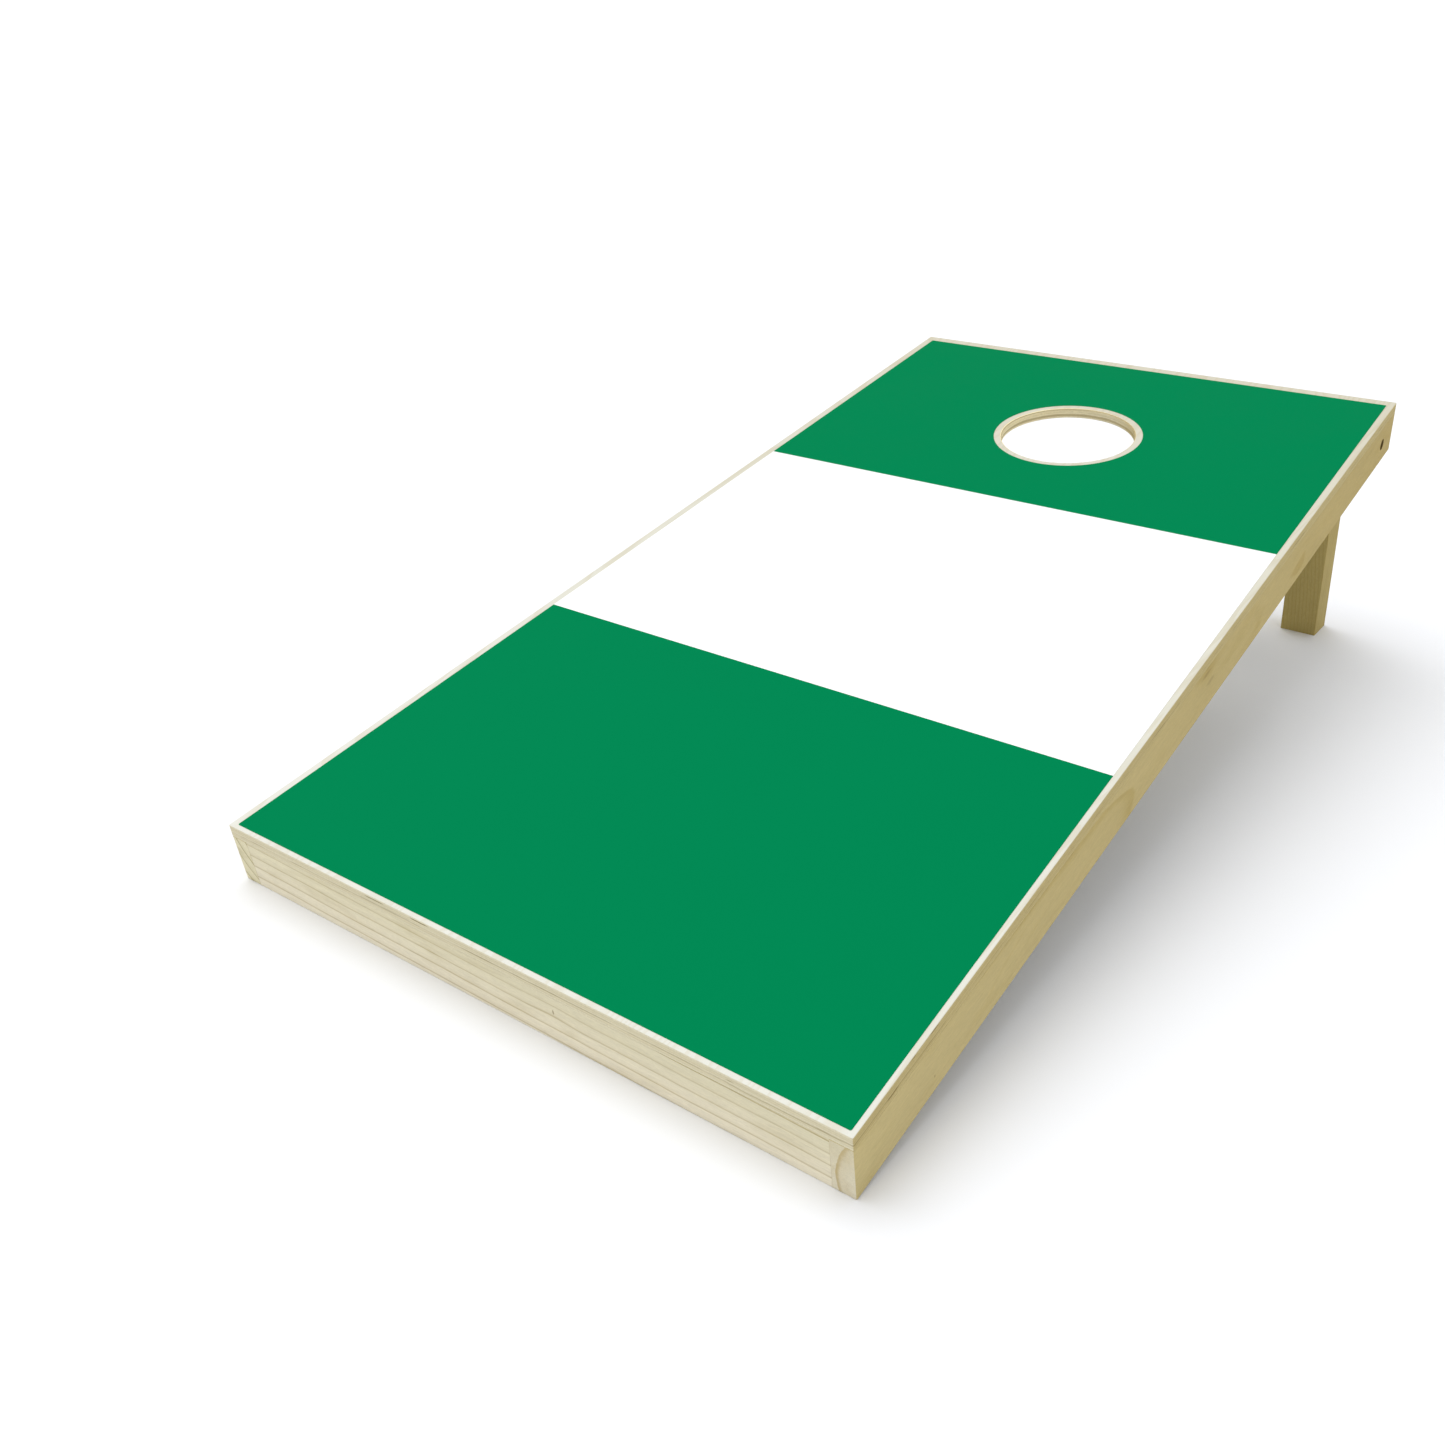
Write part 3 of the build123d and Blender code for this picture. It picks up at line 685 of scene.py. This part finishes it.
def finished(name, form, material, slot, *nodes):
    """The bmesh as a piece on the board's frame, in place of some CAD nodes."""
    bmesh.ops.recalc_face_normals(form, faces=form.faces)
    mesh = bpy.data.meshes.new(name)
    form.to_mesh(mesh)
    form.free()
    for polygon_face in mesh.polygons:
        polygon_face.use_smooth = True
    mesh.set_sharp_from_angle(angle=math.radians(SHARP_ANGLE))
    mesh.materials.append(material)
    piece = bpy.data.objects.new(name, mesh)
    bpy.context.scene.collection.objects.link(piece)
    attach(piece, "board")
    if nodes:
        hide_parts(*nodes)


# Socket-head pivot bolt, M6
HEAD_RADIUS = 4.95
HEAD_HEIGHT = 6.0
KNURL_DEPTH = 0.16
KNURL_TEETH = 48
SOCKET_FLATS = 5.0
SOCKET_DEPTH = 3.0
SHANK_RADIUS = 2.98
THREAD_CORE = 2.42
THREAD_PITCH = 1.0
THREAD_LENGTH = 18.0


def pivot_axis(side):
    """A point on a leg's axis, and the way from the side rail inwards."""
    joint = JOINTS[f"{side}_leg_fold"]
    pivot = Vector(joint["pos_m"])
    return pivot, Vector((-math.copysign(1, pivot.x), 0, 0))


def outer_point(node, side):
    """Where a part on the pivot's axis begins, nearest the side rail, and its length in mm."""
    pivot, inward = pivot_axis(side)
    low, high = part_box(node)
    start = high.x if inward.x < 0 else low.x
    return Vector((start, pivot.y, pivot.z)), (high.x - low.x) * MM


def pivot_bolt(side, material):
    node = f"pivot_bolt_{side}"
    start, length = outer_point(node, side)
    inward = pivot_axis(side)[1]
    socket = polygon(SOCKET_FLATS, 6)
    teeth = knurled(HEAD_RADIUS, KNURL_DEPTH, KNURL_TEETH)
    rings = [
        (SOCKET_DEPTH + 0.8, circle(0.3)),
        (SOCKET_DEPTH, polygon(SOCKET_FLATS - 0.1, 6)),
        (0.25, socket),
        (0.0, circle(SOCKET_FLATS / 2 + 0.5)),
        (0.0, circle(HEAD_RADIUS - 0.65)),
        (0.2, circle(HEAD_RADIUS - 0.25)),
        (0.7, circle(HEAD_RADIUS - 0.08)),
        (0.9, teeth),
        (HEAD_HEIGHT - 0.5, teeth),
        (HEAD_HEIGHT - 0.3, circle(HEAD_RADIUS - 0.08)),
        (HEAD_HEIGHT, circle(HEAD_RADIUS - 0.4)),
        (HEAD_HEIGHT, circle(SHANK_RADIUS)),
        (length - THREAD_LENGTH - 1, circle(SHANK_RADIUS)),
        *threaded(length - THREAD_LENGTH, length - 0.5, THREAD_CORE, SHANK_RADIUS, THREAD_PITCH),
        (length - 0.3, circle(THREAD_CORE + 0.25)),
        (length, circle(THREAD_CORE - 0.1)),
    ]
    form = bmesh.new()
    turn_solid(form, rings, start, inward, segments=96)
    finished(f"socket_bolt_{side}", form, material, "dark_bolt", node)


# Lock nut with a locking insert
NUT_FLATS = 10.0
NUT_HEX_HEIGHT = 4.4
BORE_RADIUS = 3.02
COLLAR_RADIUS = 4.18
INSERT_RADIUS = 3.55


def lock_nut(side, steel, plastic):
    node = f"lock_nut_{side}"
    start, height = outer_point(node, side)
    inward = pivot_axis(side)[1]
    hexagon = polygon(NUT_FLATS, 6)
    rings = [
        (0.0, circle(BORE_RADIUS + 0.4)),
        (0.0, circle(NUT_FLATS / 2 - 0.15)),
        (0.2, trimmed(hexagon, NUT_FLATS / 2 + 0.12)),
        (0.5, trimmed(hexagon, NUT_FLATS / 2 + 0.5)),
        (0.9, hexagon),
        (NUT_HEX_HEIGHT - 0.8, hexagon),
        (NUT_HEX_HEIGHT - 0.35, trimmed(hexagon, NUT_FLATS / 2 + 0.45)),
        (NUT_HEX_HEIGHT, trimmed(hexagon, NUT_FLATS / 2 - 0.1)),
        (NUT_HEX_HEIGHT + 0.1, circle(COLLAR_RADIUS + 0.02)),
        (height - 0.5, circle(COLLAR_RADIUS - 0.05)),
        (height - 0.12, circle(COLLAR_RADIUS - 0.25)),
        (height, circle(COLLAR_RADIUS - 0.45)),
        (height - 0.1, circle(INSERT_RADIUS)),
        (NUT_HEX_HEIGHT + 0.3, circle(INSERT_RADIUS)),
        (NUT_HEX_HEIGHT + 0.3, circle(BORE_RADIUS)),
        (0.35, circle(BORE_RADIUS)),
    ]
    form = bmesh.new()
    turn_solid(form, rings, start, inward, open_ring=True)
    finished(f"hex_nut_{side}", form, steel, "zinc_steel", node)
    insert = [
        (NUT_HEX_HEIGHT + 0.35, circle(BORE_RADIUS)),
        (NUT_HEX_HEIGHT + 0.35, circle(INSERT_RADIUS - 0.02)),
        (height - 0.4, circle(INSERT_RADIUS - 0.02)),
        (height - 0.25, circle(INSERT_RADIUS - 0.15)),
        (height - 0.3, circle(BORE_RADIUS + 0.1)),
        (height - 0.45, circle(BORE_RADIUS)),
    ]
    form = bmesh.new()
    turn_solid(form, insert, start, inward, open_ring=True)
    finished(f"nut_insert_{side}", form, plastic, "nylon")


WASHER_BORE = 3.1
WASHER_ROUND = 0.25


def washer(name, side, material, slot):
    node = f"{name}_{side}"
    start, thickness = outer_point(node, side)
    low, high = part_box(node)
    radius = (high.z - low.z) / 2 * MM
    rings = [
        (0.0, circle(WASHER_BORE + WASHER_ROUND)),
        (0.0, circle(radius - WASHER_ROUND)),
        (WASHER_ROUND * 0.3, circle(radius - WASHER_ROUND * 0.3)),
        (WASHER_ROUND, circle(radius)),
        (thickness - WASHER_ROUND, circle(radius)),
        (thickness - WASHER_ROUND * 0.3, circle(radius - WASHER_ROUND * 0.3)),
        (thickness, circle(radius - WASHER_ROUND)),
        (thickness, circle(WASHER_BORE + WASHER_ROUND)),
        (thickness - WASHER_ROUND, circle(WASHER_BORE)),
        (WASHER_ROUND, circle(WASHER_BORE)),
    ]
    form = bmesh.new()
    turn_solid(form, rings, start, pivot_axis(side)[1], segments=64, open_ring=True)
    finished(f"flat_{name}_{side}", form, material, slot, node)


# Wood screws
SCREW_CREST = 1.98
SCREW_CORE = 1.35
SCREW_PITCH = 1.8
SCREW_SMOOTH = 7.0  # of plain shank under the head
SCREW_HEAD = 2.4
SCREW_FLANGE = 3.95
DRIVE_FLATS = 3.0
DRIVE_DEPTH = 1.4

# In metres: corner points this near are one, and points this near to a face are on it
WELD = 1e-6
FACE_REACH = 1e-4


def separate_parts(node):
    """The corner points of each separate solid in a CAD node."""
    form = bmesh.new()
    form.from_mesh(NODES[node].data)
    bmesh.ops.remove_doubles(form, verts=form.verts, dist=WELD)
    form.verts.index_update()
    seen = set()
    parts = []
    for first in form.verts:
        if first.index in seen:
            continue
        seen.add(first.index)
        part, front = [], [first]
        while front:
            vert = front.pop()
            part.append(vert.co.copy())
            for edge in vert.link_edges:
                other = edge.other_vert(vert)
                if other.index not in seen:
                    seen.add(other.index)
                    front.append(other)
        parts.append(part)
    form.free()
    return parts


def screw_line(points):
    """The middle of a screw's head face and the way to its point."""
    far = max(points, key=lambda point: (point - points[0]).length)
    tip = max(points, key=lambda point: (point - far).length)
    if spread(points, tip) > spread(points, far):
        tip, far = far, tip
    tip = middle_near(points, tip, SCREW_CORE / MM)
    direction = (tip - middle_near(points, far, 2 * SCREW_FLANGE / MM)).normalized()
    for _ in range(3):  # each round brings the line nearer to the middle of the head
        reach = min((point - tip).dot(direction) for point in points)
        face = [point for point in points if (point - tip).dot(direction) < reach + FACE_REACH]
        head = sum(face, Vector()) / len(face)
        direction = (tip - head).normalized()
    return head, direction


def spread(points, end):
    """How wide a screw is at one end."""
    close = [point for point in points if (point - end).length < 2 * SCREW_FLANGE / MM]
    return max((a - b).length for a in close for b in close)


def middle_near(points, end, reach):
    close = [point for point in points if (point - end).length < reach]
    return sum(close, Vector()) / len(close)


def screws(node, flat, material):
    """The screws of a CAD node, with threads. A flat one is countersunk."""
    drive = polygon(DRIVE_FLATS, 4)
    recess = [(DRIVE_DEPTH, polygon(DRIVE_FLATS - 0.3, 4)), (0.15, drive)]
    if flat:
        head = [
            (0.0, circle(DRIVE_FLATS * 0.75)),
            (0.0, circle(SCREW_FLANGE - 0.2)),
            (0.15, circle(SCREW_FLANGE - 0.25)),
            (SCREW_HEAD - 0.3, circle(SCREW_CREST + 0.2)),
        ]
    else:
        head = [
            (0.0, circle(DRIVE_FLATS * 0.75)),
            (0.15, circle(SCREW_FLANGE - 1.2)),
            (0.6, circle(SCREW_FLANGE - 0.75)),
            (SCREW_HEAD - 0.9, circle(SCREW_FLANGE - 0.6)),
            (SCREW_HEAD - 0.7, circle(SCREW_FLANGE - 0.1)),
            (SCREW_HEAD - 0.35, circle(SCREW_FLANGE)),
            (SCREW_HEAD, circle(SCREW_FLANGE - 0.1)),
        ]
    form = bmesh.new()
    for points in separate_parts(node):
        start, direction = screw_line(points)
        length = max((point - start).dot(direction) for point in points) * MM
        smooth = SCREW_HEAD + SCREW_SMOOTH
        shank = [(SCREW_HEAD, circle(SCREW_CREST - 0.3)), (smooth - 0.5, circle(SCREW_CREST - 0.3))]
        cut = threaded(smooth, length, SCREW_CORE, SCREW_CREST, SCREW_PITCH, tip=0.15)
        turn_solid(form, recess + head + shank + cut, start, direction, segments=24)
    finished(f"threaded_{node}", form, material, "zinc_steel", node)


def make_hardware():
    zinc = metal("zinc_plate", rgb(205, 207, 208), 0.3)
    black = metal("black_oxide", rgb(40, 35, 27), 0.55, metallic=0.0, specular=0.15)
    plastic = nylon("natural_nylon")
    dress("deck_brads", zinc)
    for node in ("foot_rail_screws", "head_rail_screws", "brace_screws"):
        screws(node, False, zinc)
    for side in ("left", "right"):
        screws(f"block_screws_{side}", True, zinc)
        pivot_bolt(side, black)
        lock_nut(side, zinc, plastic)
        washer("head_washer", side, black, "dark_bolt")
        washer("nut_washer", side, zinc, "zinc_steel")
        washer("spacer_washer", side, plastic, "nylon")


# Floor, light and camera

FLOOR_SIZE = 400.0  # metres: much larger than the view
LAMP_DIRECTION = Vector((0.38, 0.10, -1.0))


def make_floor():
    """A plain pale floor."""
    mesh = bpy.data.meshes.new("floor")
    form = bmesh.new()
    bmesh.ops.create_grid(form, x_segments=4, y_segments=4, size=FLOOR_SIZE)
    form.to_mesh(mesh)
    form.free()
    floor = bpy.data.objects.new("floor", mesh)
    bpy.context.scene.collection.objects.link(floor)
    s = Surface("floor_paint")
    s.finish(rgb(239, 240, 243), 0.9, specular=0.0)
    mesh.materials.append(s.material)


def make_lights():
    """A broad soft lamp high on the left, and a pale sky that is brightest near the horizon."""
    lamp = bpy.data.lights.new("key", "SUN")
    lamp.energy = 1.65
    lamp.angle = math.radians(60)
    key = bpy.data.objects.new("key", lamp)
    key.rotation_euler = LAMP_DIRECTION.to_track_quat("-Z", "Y").to_euler()
    bpy.context.scene.collection.objects.link(key)
    world = bpy.data.worlds.new("sky")
    world.use_nodes = True
    nodes, links = world.node_tree.nodes, world.node_tree.links
    direction = nodes.new("ShaderNodeTexCoord")
    parts = nodes.new("ShaderNodeSeparateXYZ")
    level = nodes.new("ShaderNodeMapRange")
    for name, number in (("From Min", 0.08), ("From Max", 0.35), ("To Min", 1.05), ("To Max", 0.755)):
        level.inputs[name].default_value = number
    links.new(direction.outputs["Generated"], parts.inputs[0])
    links.new(parts.outputs["Z"], level.inputs["Value"])
    links.new(level.outputs[0], nodes["Background"].inputs["Strength"])
    nodes["Background"].inputs["Color"].default_value = (0.98, 0.99, 1.0, 1.0)
    bpy.context.scene.world = world


def make_camera():
    lens = bpy.data.cameras.new("camera")
    lens.sensor_width = 36.0
    lens.lens = 35.21
    lens.shift_x = 0.01306
    lens.shift_y = -0.03855
    lens.clip_end = 2000.0
    camera = bpy.data.objects.new("camera", lens)
    camera.location = (0.62258, -1.22562, 0.65975)
    camera.rotation_euler = [math.radians(angle) for angle in (66.5628, -1.2044, 36.5622)]
    bpy.context.scene.collection.objects.link(camera)
    bpy.context.scene.camera = camera


dress_wood()
dress_film()
make_hardware()
make_floor()
make_lights()
make_camera()
bpy.context.scene.view_settings.view_transform = "Standard"
